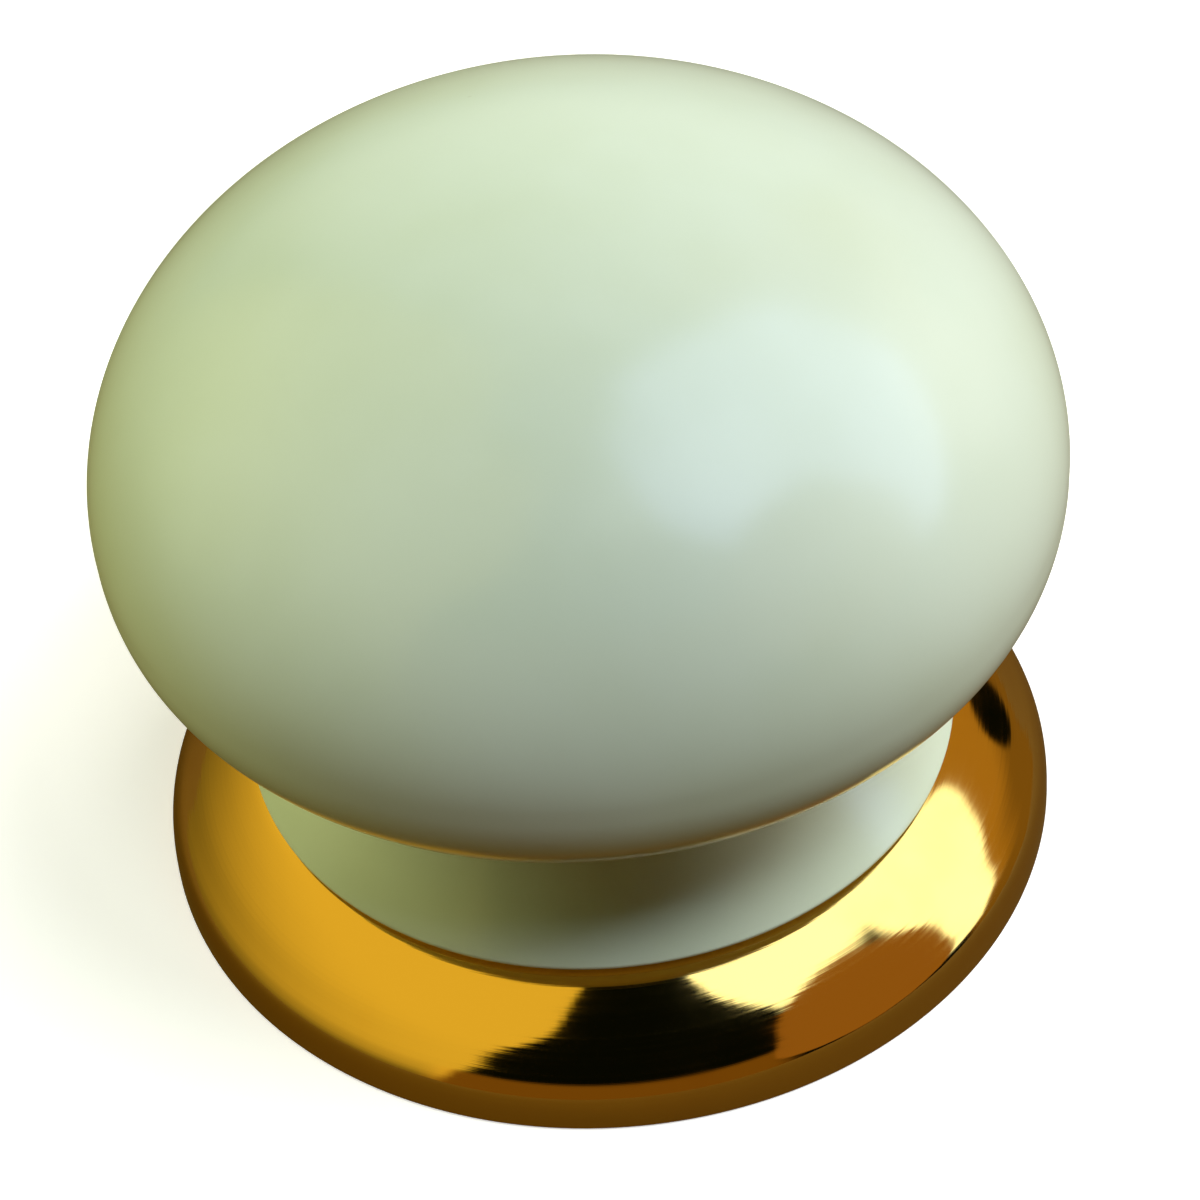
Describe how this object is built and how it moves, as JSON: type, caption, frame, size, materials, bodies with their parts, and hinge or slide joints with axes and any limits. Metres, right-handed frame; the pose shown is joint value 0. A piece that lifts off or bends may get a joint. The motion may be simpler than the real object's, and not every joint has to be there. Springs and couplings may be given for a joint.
{
  "type": "door knob",
  "caption": "Round glazed porcelain door knob with a floral print, turning on a sprung polished brass rose.",
  "frame": {"origin": "on the knob's axis, at the centre of the rose's flat back", "axes": "+Z along the knob's axis, out from the door; the two bolt posts lie on X; +Y towards the stop lug"},
  "size_m": [0.06, 0.06, 0.0505],
  "materials": {
    "porcelain": "high gloss glaze over a fired floral print",
    "cement": "matt cement",
    "polished_brass": "polished",
    "turned_brass": "turned",
    "die_cast_alloy": "as cast",
    "nylon": "natural",
    "pressed_steel": "zinc plated",
    "spring_steel": "bright",
    "black_steel": "phosphated"
  },
  "bodies": {
    "rose": {"rose_cover": "polished_brass", "rose_base": "die_cast_alloy", "shank_bush": "turned_brass", "return_spring": "spring_steel", "back_plate": "pressed_steel", "back_plate_screw_1": "pressed_steel", "back_plate_screw_2": "pressed_steel", "back_plate_screw_3": "pressed_steel", "back_plate_screw_4": "pressed_steel", "bolt_post_1": "turned_brass", "bolt_post_2": "turned_brass", "cover_grip_ring": "spring_steel"},
    "knob": {"porcelain_knob": "porcelain", "bonding_plaster": "cement", "knob_shank": "turned_brass", "thrust_washer": "nylon", "spring_driver": "pressed_steel", "wave_washer": "spring_steel", "retaining_circlip": "black_steel"}
  },
  "joints": [
    {"name": "knob_turn", "type": "hinge", "parent": "rose", "child": "knob", "pos_m": [0, 0, 0], "axis": [0, 0, 1], "range_deg": [-45, 45], "stiffness_Nm_per_rad": 0.25, "deforming": ["return_spring"]}
  ]
}
